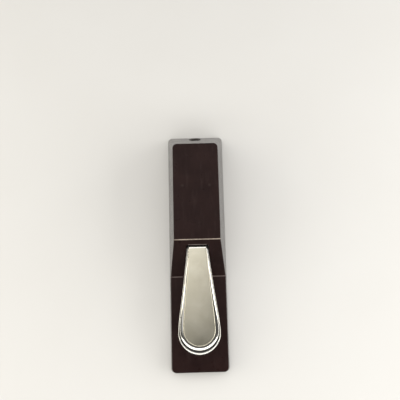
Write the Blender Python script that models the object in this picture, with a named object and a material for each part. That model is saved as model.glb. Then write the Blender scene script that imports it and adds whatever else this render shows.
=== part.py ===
"""Piano-style sustain pedal: housing, pedal lever on an axle, return spring and switch.

Frame: +X to the right, +Y to the rear, +Z up. The origin is on the floor under the
middle of the base. Run with: blender --background --python part.py
"""
import math

import bmesh
import bpy
from mathutils import Matrix, Vector

# ---- housing -------------------------------------------------------------------------
BASE_LENGTH = 0.270
BASE_WIDTH = 0.065
DECK_Z = 0.050
TRAY_Z = 0.011
RIM_Z = 0.0008
SLOPE_FOOT_Y = -0.0303
DECK_FRONT_Y = 0.0080
SIDE_DRAFT = math.radians(9.0)
REAR_DRAFT = math.radians(24.0)
CORNER_RADIUS = 0.005
EDGE_BEVEL = 0.0010
WALL = 0.0025
SLOT_HALF_WIDTH = 0.0118
SLOT_FLARE = 0.0034
SLOT_FRONT_Y = -0.025
SLOT_BOTTOM_Z = 0.025
SLOT_TOP_Z = 0.0443

# ---- floor of the housing ------------------------------------------------------------
GAP = 0.0003
MAT_THICKNESS = 0.0020
PLATE_THICKNESS = 0.0015
PLATE_BOTTOM_Z = MAT_THICKNESS + GAP
PLATE_TOP_Z = PLATE_BOTTOM_Z + PLATE_THICKNESS
FLOOR_Z = PLATE_TOP_Z + GAP
PLATE_HALF_WIDTH = 0.0289
PLATE_FRONT_Y = -0.1314
PLATE_REAR_Y = 0.1302
PLATE_CORNER = 0.0024
BASE_SCREW_PLACES = [(sx * x, y) for x, y in ((0.022, -0.120), (0.0235, 0.006), (0.020, 0.118))
                     for sx in (-1, 1)]
BOSS_RADIUS = 0.0034

# ---- pedal outline, in the pedal's own plane ------------------------------------------
PEDAL_ROOT_Y = 0.0011
PEDAL_ROOT_Z = 0.0425
PEDAL_TILT = math.radians(2.4)
LIP = {"root": 0.0110, "round": 0.0223, "tip": 0.1132}
PLATE = {"root": 0.0098, "round": 0.0205, "tip": 0.1080}
PAD = {"root": 0.0090, "round": 0.0168, "tip": 0.1037}
FLANK_SWELL = 5
FACE_PLATE_DEPTH = 0.0026
LEVER_DEPTH = 0.0085
LEVER_COUNTERBORE = 0.0022

# ---- lever, pivot and stops ----------------------------------------------------------
PIVOT_Y = 0.062
PIVOT_Z = 0.033
AXLE_RADIUS = 0.0030
AXLE_HALF_LENGTH = 0.0220
AXLE_CLEARANCE = 0.0001
BUSH_RADIUS = 0.0046
HUB_RADIUS = 0.0070
HUB_HALF_WIDTH = 0.0130
EAR_X = 0.0160
EAR_THICKNESS = 0.0020
BRACKET_HALF_LENGTH = 0.0145
ARM_HALF_WIDTH = 0.0090
ARM_BOTTOM_Z = 0.0325
ARM_TOP_Z = 0.0395
TAIL_TOP_Z = 0.0385
TAIL_END_Y = 0.104
UP_STOP_Y = 0.016
DOWN_STOP_Y = 0.099

# ---- spring, switches and cord inlet --------------------------------------------------
SPRING_Y = 0.017
SPRING_RADIUS = 0.0049
SPRING_WIRE = 0.0006
SPRING_TURNS = 6
SPRING_PEG_RADIUS = SPRING_RADIUS - 0.0014
SPRING_END_EASE = 0.045
SEAT_FLOOR = 0.0015
SWITCH_Y0 = 0.027
SWITCH_LENGTH = 0.020
SWITCH_HALF_WIDTH = 0.0032
SWITCH_Z0 = 0.0183
SWITCH_HEIGHT = 0.0100
SWITCH_HOLES = [(SWITCH_Y0 + d, SWITCH_Z0 + 0.0022) for d in (0.00525, 0.01475)]
TAB_LENGTH = 0.0036
SWITCH_BRACKET_THICKNESS = 0.0012
PLUNGER_Y = PIVOT_Y - 0.020
PLUNGER_RADIUS = 0.0011
POLARITY_Y = -0.008
POLARITY_TRAVEL = 0.004
POLARITY_BODY_HEIGHT = 0.0055
POLARITY_FLANGE = 0.0008
POLARITY_TAB_LENGTH = 0.0028
INLET_Z = 0.0150
INLET_BORE_RADIUS = 0.0040
GROMMET_RADIUS = 0.0054
LEAD_RADIUS = 0.0007

# ---- screws: (head radius, head height, shank radius) and their places -----------------
BASE_SCREW = (0.0030, 0.0012, 0.0013)
FACE_PLATE_SCREW = (0.0029, 0.0014, 0.0011)
BRACKET_SCREW = (0.0028, 0.0016, 0.0014)
FOOT_SCREW = (0.0026, 0.0014, 0.0014)
CLAMP_SCREW = (0.0028, 0.0014, 0.0014)
POLARITY_SCREW = (0.0020, 0.0011, 0.0010)
SWITCH_SCREW = (0.0018, 0.0010, 0.0009)
SCREW_END_Z = 0.0012
SCREW_HOLE = 0.0018
POLARITY_SCREW_HOLE = 0.0013
SWITCH_SCREW_HOLE = 0.0012
MAT_HOLE = 0.0020
MAT_HEAD_HOLE = 0.0040

CLAMP_Y = 0.116
CLAMP_FOOT = 0.0016
BRACKET_SCREW_PLACES = [(x, y) for x in (-0.011, 0.011) for y in (0.0515, 0.0725)]
FOOT_SCREW_PLACES = [(0.0105, 0.031), (0.0105, 0.042)]
CLAMP_SCREW_PLACES = [(-0.0085, CLAMP_Y), (0.0085, CLAMP_Y)]
POLARITY_SCREW_PLACES = [(-0.0102, POLARITY_Y), (0.0102, POLARITY_Y)]
PLATE_SCREW_PLACES = BASE_SCREW_PLACES + BRACKET_SCREW_PLACES + FOOT_SCREW_PLACES + CLAMP_SCREW_PLACES


# ---- scene helpers -------------------------------------------------------------------
def clear_scene():
    for obj in list(bpy.data.objects):
        bpy.data.objects.remove(obj, do_unlink=True)


def material(name, color, roughness, metallic=0.0):
    mat = bpy.data.materials.get(name) or bpy.data.materials.new(name)
    mat.use_nodes = True
    shader = mat.node_tree.nodes["Principled BSDF"]
    shader.inputs["Base Color"].default_value = (*color, 1.0)
    shader.inputs["Roughness"].default_value = roughness
    shader.inputs["Metallic"].default_value = metallic
    return mat


def to_object(bm, name="work"):
    bmesh.ops.recalc_face_normals(bm, faces=bm.faces)
    mesh = bpy.data.meshes.new(name)
    bm.to_mesh(mesh)
    bm.free()
    obj = bpy.data.objects.new(name, mesh)
    bpy.context.scene.collection.objects.link(obj)
    return obj


def bake(obj):
    """Replace the object's mesh by its evaluated mesh, so no modifier is left."""
    bpy.context.view_layer.update()
    graph = bpy.context.evaluated_depsgraph_get()
    mesh = bpy.data.meshes.new_from_object(obj.evaluated_get(graph))
    obj.modifiers.clear()
    obj.data = mesh


def combine(target, other, operation):
    """Boolean of two closed objects; the second one is used up."""
    mod = target.modifiers.new("boolean", "BOOLEAN")
    mod.operation = operation
    mod.solver = "EXACT"
    mod.object = other
    bake(target)
    bpy.data.objects.remove(other, do_unlink=True)
    return target


def cut(target, *cutters):
    for cutter in cutters:
        combine(target, cutter, "DIFFERENCE")
    return target


def join(target, *others):
    for other in others:
        combine(target, other, "UNION")
    return target


def finish(obj, name, mat, smooth=False, origin=None, parent=None):
    """Name the piece, give it its material, and put its origin on its joint if it has one."""
    obj.name = name
    obj.data.name = name
    obj.data.materials.clear()
    obj.data.materials.append(mat)
    if smooth:
        obj.data.shade_smooth()
        obj.data.set_sharp_from_angle(angle=math.radians(35))
    if origin is not None:
        obj.data.transform(Matrix.Translation(-Vector(origin)))
        obj.location = origin
    if parent is not None:
        obj.parent = parent
        obj.location = Vector(obj.location) - parent.location
    return obj


def finish_each(pieces, name, mat, **options):
    """Finish repeated pieces as name_1, name_2 and so on."""
    return [finish(piece, f"{name}_{i}", mat, **options) for i, piece in enumerate(pieces, 1)]


# ---- shape helpers -------------------------------------------------------------------
def box(x0, x1, y0, y1, z0, z1):
    bm = bmesh.new()
    bmesh.ops.create_cube(bm, size=1.0)
    size = Matrix.Diagonal((x1 - x0, y1 - y0, z1 - z0, 1.0))
    middle = Matrix.Translation(((x0 + x1) / 2, (y0 + y1) / 2, (z0 + z1) / 2))
    bmesh.ops.transform(bm, matrix=middle @ size, verts=bm.verts)
    return to_object(bm)


def turned(profile, segments=24, axis="Z", place=(0.0, 0.0, 0.0)):
    """Solid of revolution; the profile is a closed loop of (radius, height) points."""
    bm = bmesh.new()
    rings = []
    for radius, height in profile:
        angles = [2 * math.pi * i / segments for i in range(segments)]
        rings.append([bm.verts.new((radius * math.cos(a), radius * math.sin(a), height))
                      for a in angles])
    for ring, following in zip(rings, rings[1:] + rings[:1]):
        for i in range(segments):
            j = (i + 1) % segments
            bm.faces.new((ring[i], ring[j], following[j], following[i]))
    turn = {"Z": Matrix.Identity(4), "X": Matrix.Rotation(math.pi / 2, 4, "Y"),
            "Y": Matrix.Rotation(-math.pi / 2, 4, "X")}[axis]
    bmesh.ops.transform(bm, matrix=Matrix.Translation(place) @ turn, verts=bm.verts)
    return to_object(bm)


def rod(radius, start, end, segments=24, axis="Z", place=(0.0, 0.0, 0.0)):
    """Solid cylinder along an axis through a place, from start to end along that axis."""
    bm = bmesh.new()
    bmesh.ops.create_cone(bm, cap_ends=True, segments=segments, radius1=radius, radius2=radius,
                          depth=end - start)
    lift = Matrix.Translation((0, 0, (start + end) / 2))
    turn = {"Z": Matrix.Identity(4), "X": Matrix.Rotation(math.pi / 2, 4, "Y"),
            "Y": Matrix.Rotation(-math.pi / 2, 4, "X")}[axis]
    bmesh.ops.transform(bm, matrix=Matrix.Translation(place) @ turn @ lift, verts=bm.verts)
    return to_object(bm)


def ring(inner, outer, start, end, segments=24, axis="Z", place=(0.0, 0.0, 0.0)):
    return turned([(outer, start), (outer, end), (inner, end), (inner, start)],
                  segments, axis, place)


def rounded_rectangle(half_x, y_front, y_rear, radius, z, segments=5):
    """Points of a rectangle with round corners at height z, going round once."""
    points = []
    x, rear, front = half_x - radius, y_rear - radius, y_front + radius
    corners = ((x, rear, 0), (-x, rear, 90), (-x, front, 180), (x, front, 270))
    for cx, cy, start in corners:
        for i in range(segments + 1):
            angle = math.radians(start + 90 * i / segments)
            points.append((cx + radius * math.cos(angle), cy + radius * math.sin(angle), z))
    return points


def loft(loops):
    """Closed solid through loops that have the same number of points, with flat ends."""
    bm = bmesh.new()
    rings = [[bm.verts.new(p) for p in loop] for loop in loops]
    count = len(rings[0])
    for lower, upper in zip(rings, rings[1:]):
        for i in range(count):
            j = (i + 1) % count
            bm.faces.new((lower[i], lower[j], upper[j], upper[i]))
    bm.faces.new(rings[0])
    bm.faces.new(rings[-1])
    return to_object(bm)


def extrude_side_profile(points, half_width):
    """Solid with the given (y, z) side view, from -half_width to +half_width in x."""
    return loft([[(x, y, z) for y, z in points] for x in (-half_width, half_width)])


def fillet(before, corner, after, radius, segments=4):
    """Arc points that round a corner of a (y, z) outline."""
    to_before = (Vector(before) - Vector(corner)).normalized()
    to_after = (Vector(after) - Vector(corner)).normalized()
    half_angle = to_before.angle(to_after) / 2
    reach = radius / math.tan(half_angle)
    centre = Vector(corner) + (to_before + to_after).normalized() * radius / math.sin(half_angle)
    first = Vector(corner) + to_before * reach - centre
    last = Vector(corner) + to_after * reach - centre
    points = []
    for i in range(segments + 1):
        step = first.lerp(last, i / segments).normalized() * radius
        points.append(tuple(centre + step))
    return points


# ---- housing -------------------------------------------------------------------------
def slope_angle():
    return math.atan2(DECK_Z - TRAY_Z, DECK_FRONT_Y - SLOPE_FOOT_Y)


def drafted_block(inset, z_low, z_high):
    """Block between the housing's four leaning walls, each moved inwards by the inset."""
    loops = []
    for z in (z_low, z_high):
        rise = z - RIM_Z
        side = rise * math.tan(SIDE_DRAFT) + inset / math.cos(SIDE_DRAFT)
        rear = rise * math.tan(REAR_DRAFT) + inset / math.cos(REAR_DRAFT)
        radius = max(CORNER_RADIUS - inset, 0.0018)
        loops.append(rounded_rectangle(BASE_WIDTH / 2 - side, -BASE_LENGTH / 2 + side,
                                       BASE_LENGTH / 2 - rear, radius, z))
    return loft(loops)


def top_outline(inset, z_low, rounding):
    """Side view below the tray, slope and deck surfaces, each lowered by the inset."""
    shift = inset * math.tan(slope_angle() / 2)
    front = (-BASE_LENGTH, TRAY_Z - inset)
    foot = (SLOPE_FOOT_Y + shift, TRAY_Z - inset)
    crest = (DECK_FRONT_Y + shift, DECK_Z - inset)
    rear = (BASE_LENGTH, DECK_Z - inset)
    outline = [(-BASE_LENGTH, z_low), front]
    outline += fillet(front, foot, crest, rounding)
    outline += fillet(foot, crest, rear, rounding)
    outline += [rear, (BASE_LENGTH, z_low)]
    return outline


def housing_block(inset, z_low, rounding):
    block = drafted_block(inset, z_low, DECK_Z + 0.004)
    return combine(block, extrude_side_profile(top_outline(inset, z_low - 0.002, rounding), 0.05),
                   "INTERSECT")


def housing_bosses():
    """Screw bosses and ribs, trimmed to stay inside the outer walls."""
    ribs = [box(-0.0285, 0.0285, -0.0828, -0.0812, FLOOR_Z, TRAY_Z - 0.001)]
    ribs += [box(x - 0.0008, x + 0.0008, -0.131, -0.031, FLOOR_Z, TRAY_Z - 0.001)
             for x in (-0.013, 0.013)]
    ribs += [box(sx * 0.0235 - 0.0007, sx * 0.0235 + 0.0007, 0.006, 0.010, 0.020, DECK_Z - 0.001)
             for sx in (-1, 1)]
    body = ribs[0]
    join(body, *ribs[1:])
    tops = {-0.120: TRAY_Z - 0.001, 0.006: DECK_Z - 0.001, 0.118: DECK_Z - 0.001}
    for x, y in BASE_SCREW_PLACES:
        join(body, rod(BOSS_RADIUS, FLOOR_Z, tops[y], 16, place=(x, y, 0)))
    return combine(body, housing_block(WALL * 0.45, RIM_Z, 0.002), "INTERSECT")


def inlet_matrix():
    """Frame of the cord inlet: its local Z points straight out of the rear wall."""
    y = BASE_LENGTH / 2 - (INLET_Z - RIM_Z) * math.tan(REAR_DRAFT)
    return Matrix.Translation((0, y, INLET_Z)) @ Matrix.Rotation(REAR_DRAFT - math.pi / 2, 4, "X")


def pedal_slot():
    """Cutter for the slot; its sides open towards the toe, as the pedal's flanks do."""
    right = [(SLOT_HALF_WIDTH, 0.010), (SLOT_HALF_WIDTH, PEDAL_ROOT_Y),
             (SLOT_HALF_WIDTH + SLOT_FLARE, SLOT_FRONT_Y)]
    outline = right + [(-x, y) for x, y in reversed(right)]
    return loft([[(x, y, z) for x, y in outline] for z in (SLOT_BOTTOM_Z, SLOT_TOP_Z)])


def upper_housing(mat):
    body = housing_block(0.0, RIM_Z, 0.0016)
    bevel = body.modifiers.new("edges", "BEVEL")
    bevel.width = EDGE_BEVEL
    bevel.segments = 2
    bevel.limit_method = "ANGLE"
    bevel.angle_limit = math.radians(50)
    bake(body)
    cut(body, housing_block(WALL, -0.004, 0.0020))
    join(body, housing_bosses())
    cut(body, pedal_slot())
    for x, y in BASE_SCREW_PLACES:
        cut(body, rod(0.0016, 0.0, 0.0084, 12, place=(x, y, 0)))
    inlet = rod(GROMMET_RADIUS + GAP, -0.012, 0.012, 24)
    inlet.data.transform(inlet_matrix())
    cut(body, inlet)
    return finish(body, "upper_housing", mat)


# ---- floor ---------------------------------------------------------------------------
def floor_sheet(z_low, z_high):
    return loft([rounded_rectangle(PLATE_HALF_WIDTH, PLATE_FRONT_Y, PLATE_REAR_Y, PLATE_CORNER, z, 3)
                 for z in (z_low, z_high)])


def base_plate(mat):
    plate = floor_sheet(PLATE_BOTTOM_Z, PLATE_TOP_Z)
    for x, y in PLATE_SCREW_PLACES:
        cut(plate, rod(SCREW_HOLE, 0.0, 0.010, 12, place=(x, y, 0)))
    for x, y in POLARITY_SCREW_PLACES:
        cut(plate, rod(POLARITY_SCREW_HOLE, 0.0, 0.010, 12, place=(x, y, 0)))
    cut(plate, box(-0.0054, 0.0054, POLARITY_Y - 0.0028, POLARITY_Y + 0.0028, 0.0, 0.010))
    return finish(plate, "base_plate", mat)


def anti_slip_mat(mat):
    sheet = floor_sheet(0.0, MAT_THICKNESS)
    for x, y in PLATE_SCREW_PLACES:
        radius = MAT_HEAD_HOLE if (x, y) in BASE_SCREW_PLACES else MAT_HOLE
        cut(sheet, rod(radius, -0.01, 0.01, 16, place=(x, y, 0)))
    window = [rounded_rectangle(0.0085, POLARITY_Y - 0.0052, POLARITY_Y + 0.0052, 0.002, z, 3)
              for z in (-0.01, 0.01)]
    cut(sheet, loft(window))
    return finish(sheet, "anti_slip_mat", mat)


def pan_screw(size, head_seat_z, shank_end_z):
    """Screw along Z; its head sits at head_seat_z, away from its shank's end."""
    head_radius, head_height, shank_radius = size
    away = math.copysign(1.0, head_seat_z - shank_end_z)
    bm = bmesh.new()
    crown = head_seat_z + away * head_height
    rims = ((0.6 * head_radius, crown), (head_radius, crown - away * 0.45 * head_height),
            (head_radius, head_seat_z), (shank_radius, head_seat_z), (shank_radius, shank_end_z))
    segments = 12
    rings = []
    for radius, z in rims:
        rings.append([bm.verts.new((radius * math.cos(math.tau * i / segments),
                                    radius * math.sin(math.tau * i / segments), z))
                      for i in range(segments)])
    for upper, lower in zip(rings, rings[1:]):
        for i in range(segments):
            j = (i + 1) % segments
            bm.faces.new((upper[i], upper[j], lower[j], lower[i]))
    bm.faces.new(rings[0])
    bm.faces.new(rings[-1])
    return to_object(bm)


def screw_set(name, mat, places, size, head_seat_z, shank_end_z):
    screws = []
    for x, y in places:
        screw = pan_screw(size, head_seat_z, shank_end_z)
        screw.data.transform(Matrix.Translation((x, y, 0)))
        screws.append(screw)
    return finish_each(screws, name, mat, smooth=True)


# ---- pedal ---------------------------------------------------------------------------
def pedal_outline(shape, shrink=0.0, flank_steps=10, toe_steps=18):
    """Teardrop outline as (x, distance from the root) points, going round once."""
    root, radius, tip = (shape[key] - shrink for key in ("root", "round", "tip"))
    centre = tip - radius
    right = []
    for i in range(flank_steps):
        t = i / flank_steps
        width = root + (radius - root) * (t + (1 - t) * t ** FLANK_SWELL)
        right.append((width, shrink + (centre - shrink) * t))
    angles = [math.pi * i / toe_steps for i in range(toe_steps + 1)]
    toe = [(radius * math.cos(a), centre + radius * math.sin(a)) for a in angles]
    left = [(-x, v) for x, v in reversed(right)]
    return right + toe + left


def pedal_frame():
    """Pedal plane: local y runs from the root to the toe, local z is up out of the pad."""
    turn = Matrix.Rotation(math.pi, 4, "Z")
    tilt = Matrix.Rotation(PEDAL_TILT, 4, "X")
    return Matrix.Translation((0, PEDAL_ROOT_Y, PEDAL_ROOT_Z)) @ tilt @ turn


def pedal_solid(levels):
    """Solid through outlines: each level is (shape, shrink, height above the pad)."""
    loops = [[(x, v, height) for x, v in pedal_outline(shape, shrink)]
             for shape, shrink, height in levels]
    solid = loft(loops)
    solid.data.transform(pedal_frame())
    return solid


def face_screw_places():
    frame = pedal_frame()
    return [frame @ Vector((0, v, 0)) for v in (0.030, 0.082)]


def tilted(obj, place):
    """Move an object modelled on the Z axis to a place on the pedal, along its normal."""
    obj.data.transform(Matrix.Translation(place) @ Matrix.Rotation(PEDAL_TILT, 4, "X"))
    return obj


def pedal_face_plate(mat, parent):
    body = pedal_solid([(PLATE, 0.0003, -FACE_PLATE_DEPTH), (PLATE, 0.0, -0.0022),
                        (PLATE, 0.0004, -0.0017), (PLATE, 0.0010, -0.0013),
                        (PAD, -0.0003, -0.0005), (PAD, 0.0002, 0.0)])
    for place in face_screw_places():
        cut(body, tilted(rod(0.0014, -FACE_PLATE_DEPTH - 0.001, -0.0011, 12), place))
    return finish(body, "pedal_face_plate", mat, origin=(0, PIVOT_Y, PIVOT_Z), parent=parent)


def pedal_lever(mat, parent):
    top = -FACE_PLATE_DEPTH - GAP
    body = pedal_solid([(LIP, 0.0012, -LEVER_DEPTH), (LIP, 0.0002, -LEVER_DEPTH + 0.0012),
                        (LIP, 0.0, top - 0.0014), (LIP, 0.0004, top - 0.0005), (LIP, 0.0012, top)])
    side = [(-0.012, ARM_BOTTOM_Z + 0.0014), (0.004, ARM_BOTTOM_Z), (TAIL_END_Y, ARM_BOTTOM_Z),
            (TAIL_END_Y, TAIL_TOP_Z), (PIVOT_Y, ARM_TOP_Z), (-0.012, ARM_TOP_Z - 0.0010)]
    arm = extrude_side_profile(side, ARM_HALF_WIDTH)
    hub = rod(HUB_RADIUS, -HUB_HALF_WIDTH, HUB_HALF_WIDTH, 28, "X", (0, PIVOT_Y, PIVOT_Z))
    peg = rod(SPRING_PEG_RADIUS, ARM_BOTTOM_Z - 0.0030, ARM_BOTTOM_Z + 0.001, 16,
              place=(0, SPRING_Y, 0))
    join(body, arm, hub, peg)
    cut(body, rod(BUSH_RADIUS + 0.0002, -0.02, 0.02, 24, "X", (0, PIVOT_Y, PIVOT_Z)))
    for place in face_screw_places():
        cut(body, tilted(rod(0.0017, -0.012, 0.0, 12), place))
        cut(body, tilted(rod(0.0034, -0.012, -LEVER_DEPTH + LEVER_COUNTERBORE, 16), place))
    return finish(body, "pedal_lever", mat, smooth=True, origin=(0, PIVOT_Y, PIVOT_Z), parent=parent)


def face_plate_screws(mat, parent):
    screws = []
    for place in face_screw_places():
        seat = -LEVER_DEPTH + LEVER_COUNTERBORE - GAP
        screws.append(tilted(pan_screw(FACE_PLATE_SCREW, seat, -0.0016), place))
    return finish_each(screws, "face_plate_screw", mat, smooth=True,
                       origin=(0, PIVOT_Y, PIVOT_Z), parent=parent)


def lever_bushes(mat, parent):
    bore = AXLE_RADIUS + AXLE_CLEARANCE
    bushes = []
    for side in (-1, 1):
        near, far = sorted((side * 0.003, side * (HUB_HALF_WIDTH - 0.0002)))
        bushes.append(ring(bore, BUSH_RADIUS, near, far, 24, "X", (0, PIVOT_Y, PIVOT_Z)))
    return finish_each(bushes, "lever_bush", mat, smooth=True,
                       origin=(0, PIVOT_Y, PIVOT_Z), parent=parent)


# ---- pivot ---------------------------------------------------------------------------
def bearing_bracket(mat):
    y0, y1 = PIVOT_Y - BRACKET_HALF_LENGTH, PIVOT_Y + BRACKET_HALF_LENGTH
    body = box(-EAR_X - EAR_THICKNESS, EAR_X + EAR_THICKNESS, y0, y1, FLOOR_Z, FLOOR_Z + EAR_THICKNESS)
    side = [(y0, FLOOR_Z), (y1, FLOOR_Z), (PIVOT_Y + 0.0065, 0.0375), (PIVOT_Y + 0.003, 0.0405),
            (PIVOT_Y - 0.003, 0.0405), (PIVOT_Y - 0.0065, 0.0375)]
    for sx in (-1, 1):
        ear = extrude_side_profile(side, EAR_THICKNESS / 2)
        ear.data.transform(Matrix.Translation((sx * (EAR_X + EAR_THICKNESS / 2), 0, 0)))
        join(body, ear)
    cut(body, rod(AXLE_RADIUS + AXLE_CLEARANCE, -0.03, 0.03, 24, "X", (0, PIVOT_Y, PIVOT_Z)))
    for x, y in BRACKET_SCREW_PLACES:
        cut(body, rod(SCREW_HOLE, 0.0, 0.012, 12, place=(x, y, 0)))
    return finish(body, "bearing_bracket", mat)


def pivot_axle(mat):
    axle = rod(AXLE_RADIUS, -AXLE_HALF_LENGTH, AXLE_HALF_LENGTH, 24, "X", (0, PIVOT_Y, PIVOT_Z))
    return finish(axle, "pivot_axle", mat, smooth=True)


def rings_on_axle(name, mat, inner_x, thickness, outer_radius):
    rings = []
    for side in (-1, 1):
        near, far = sorted((side * inner_x, side * (inner_x + thickness)))
        rings.append(ring(AXLE_RADIUS + AXLE_CLEARANCE, outer_radius, near, far, 20, "X",
                          (0, PIVOT_Y, PIVOT_Z)))
    return finish_each(rings, name, mat, smooth=True)


# ---- spring and stops ----------------------------------------------------------------
def return_spring(mat):
    """Compression coil with closed ends, swept along a helix."""
    bottom = FLOOR_Z + SEAT_FLOOR + GAP + SPRING_WIRE
    top = ARM_BOTTOM_Z - GAP - SPRING_WIRE
    per_turn, sides = 14, 6
    steps = SPRING_TURNS * per_turn
    bm = bmesh.new()
    loops = []
    for i in range(steps + 1):
        angle = math.tau * i / per_turn
        t = i / steps
        ease = t - SPRING_END_EASE * math.sin(math.tau * t)
        centre = Vector((SPRING_RADIUS * math.cos(angle), SPRING_RADIUS * math.sin(angle),
                         bottom + (top - bottom) * ease))
        out = Vector((math.cos(angle), math.sin(angle), 0))
        up = Vector((0, 0, 1))
        loop = []
        for k in range(sides):
            turn = math.tau * k / sides
            spoke = out * math.cos(turn) + up * math.sin(turn)
            loop.append(bm.verts.new(centre + SPRING_WIRE * spoke))
        loops.append(loop)
    for first, second in zip(loops, loops[1:]):
        for k in range(sides):
            j = (k + 1) % sides
            bm.faces.new((first[k], first[j], second[j], second[k]))
    bm.faces.new(loops[0])
    bm.faces.new(loops[-1])
    bmesh.ops.translate(bm, verts=bm.verts, vec=(0, SPRING_Y, 0))
    return finish(to_object(bm), "return_spring", mat, smooth=True)


def spring_seat(mat):
    rim = SPRING_RADIUS + SPRING_WIRE + GAP
    low, floor, high = FLOOR_Z, FLOOR_Z + SEAT_FLOOR, FLOOR_Z + 0.0045
    seat = rod(rim + 0.0016, low, high, 24, place=(0, SPRING_Y, 0))
    cut(seat, rod(rim, floor, high + 0.002, 24, place=(0, SPRING_Y, 0)))
    join(seat, rod(SPRING_PEG_RADIUS, floor - 0.0005, high, 16, place=(0, SPRING_Y, 0)))
    return finish(seat, "spring_seat", mat, smooth=True)


def stop_bumper(name, mat, y, bottom_z, half_x=0.0070, half_y=0.0050):
    top_z = DECK_Z - WALL - GAP
    loops = []
    for inset, z in ((0.0008, bottom_z), (0.0, bottom_z + 0.0008), (0.0, top_z)):
        loops.append(rounded_rectangle(half_x - inset, y - half_y + inset, y + half_y - inset,
                                       0.0020 - inset, z, 3))
    return finish(loft(loops), name, mat)


# ---- foot switch ---------------------------------------------------------------------
def micro_switch(mat):
    body = box(-SWITCH_HALF_WIDTH, SWITCH_HALF_WIDTH, SWITCH_Y0, SWITCH_Y0 + SWITCH_LENGTH,
               SWITCH_Z0, SWITCH_Z0 + SWITCH_HEIGHT)
    bevel = body.modifiers.new("edges", "BEVEL")
    bevel.width = 0.0004
    bevel.segments = 1
    bake(body)
    cut(body, rod(PLUNGER_RADIUS + 0.0003, SWITCH_Z0 + 0.0042, 0.04, 16, place=(0, PLUNGER_Y, 0)))
    for y, z in SWITCH_HOLES:
        cut(body, rod(SWITCH_SCREW_HOLE, -0.01, 0.01, 12, "X", (0, y, z)))
    return finish(body, "micro_switch", mat)


def switch_plunger(mat, parent):
    low, tip = SWITCH_Z0 + 0.0063, ARM_BOTTOM_Z - GAP
    bm = bmesh.new()
    bmesh.ops.create_cone(bm, cap_ends=True, segments=16, radius1=PLUNGER_RADIUS,
                          radius2=PLUNGER_RADIUS, depth=tip - low)
    top_rim = [e for e in bm.edges if all(v.co.z > 0 for v in e.verts)]
    bmesh.ops.bevel(bm, geom=top_rim, offset=0.0004, segments=2, affect="EDGES", profile=0.5)
    bmesh.ops.translate(bm, verts=bm.verts, vec=(0, PLUNGER_Y, (low + tip) / 2))
    return finish(to_object(bm), "switch_plunger", mat, smooth=True, origin=(0, PLUNGER_Y, tip),
                  parent=parent)


def switch_terminals(mat):
    low, high = SWITCH_Z0 - GAP - TAB_LENGTH, SWITCH_Z0 - GAP
    tabs = [box(-0.0012, 0.0012, SWITCH_Y0 + d - 0.00025, SWITCH_Y0 + d + 0.00025, low, high)
            for d in (0.0025, 0.0100, 0.0175)]
    return finish_each(tabs, "switch_terminal", mat)


def switch_bracket(mat):
    x0 = SWITCH_HALF_WIDTH + GAP
    thickness = SWITCH_BRACKET_THICKNESS
    y0, y1 = SWITCH_Y0, PIVOT_Y - BRACKET_HALF_LENGTH - 0.0004
    body = box(x0, x0 + thickness, y0, y1, FLOOR_Z, SWITCH_Z0 + 0.0070)
    join(body, box(x0 + thickness / 2, x0 + 0.0115, y0, y1, FLOOR_Z, FLOOR_Z + thickness))
    for x, y in FOOT_SCREW_PLACES:
        cut(body, rod(SCREW_HOLE, 0.0, 0.012, 12, place=(x, y, 0)))
    for y, z in SWITCH_HOLES:
        cut(body, rod(SWITCH_SCREW_HOLE, -0.01, 0.01, 12, "X", (0, y, z)))
    return finish(body, "switch_bracket", mat)


def switch_screws(mat):
    screws = []
    for y, z in SWITCH_HOLES:
        screw = pan_screw(SWITCH_SCREW, -SWITCH_HALF_WIDTH - GAP, SWITCH_HALF_WIDTH + 0.0030)
        screw.data.transform(Matrix.Translation((0, y, z)) @ Matrix.Rotation(math.pi / 2, 4, "Y"))
        screws.append(screw)
    return finish_each(screws, "switch_screw", mat, smooth=True)


# ---- polarity switch -----------------------------------------------------------------
def polarity_switch(mat):
    flange_top = FLOOR_Z + POLARITY_FLANGE
    body = box(-0.0070, 0.0070, POLARITY_Y - 0.0036, POLARITY_Y + 0.0036, FLOOR_Z,
               FLOOR_Z + POLARITY_BODY_HEIGHT)
    join(body, box(-0.0124, 0.0124, POLARITY_Y - 0.0032, POLARITY_Y + 0.0032, FLOOR_Z, flange_top))
    cut(body, box(-0.0045, 0.0045, POLARITY_Y - 0.0021, POLARITY_Y + 0.0021, 0.0, FLOOR_Z + 0.0028))
    for x, y in POLARITY_SCREW_PLACES:
        cut(body, rod(POLARITY_SCREW_HOLE, 0.0, 0.012, 12, place=(x, y, 0)))
    return finish(body, "polarity_switch", mat)


def polarity_slider(mat, parent):
    """Knob at the left end of its travel, shorter than the mat is thick, so it clears the floor."""
    x0, x1 = -POLARITY_TRAVEL, -0.0001
    body = box(x0, x1, POLARITY_Y - 0.0017, POLARITY_Y + 0.0017, 0.0009, FLOOR_Z + 0.0024)
    for x in (-0.0031, -0.00205, -0.0010):
        cut(body, box(x - 0.0002, x + 0.0002, POLARITY_Y - 0.002, POLARITY_Y + 0.002, 0.0, 0.0013))
    return finish(body, "polarity_slider", mat, origin=(x0 / 2, POLARITY_Y, FLOOR_Z), parent=parent)


def polarity_terminals(mat):
    low = FLOOR_Z + POLARITY_BODY_HEIGHT + GAP
    tabs = [box(x - 0.0006, x + 0.0006, POLARITY_Y - 0.00025, POLARITY_Y + 0.00025, low,
                low + POLARITY_TAB_LENGTH) for x in (-0.0035, 0.0, 0.0035)]
    return finish_each(tabs, "polarity_terminal", mat)


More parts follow.
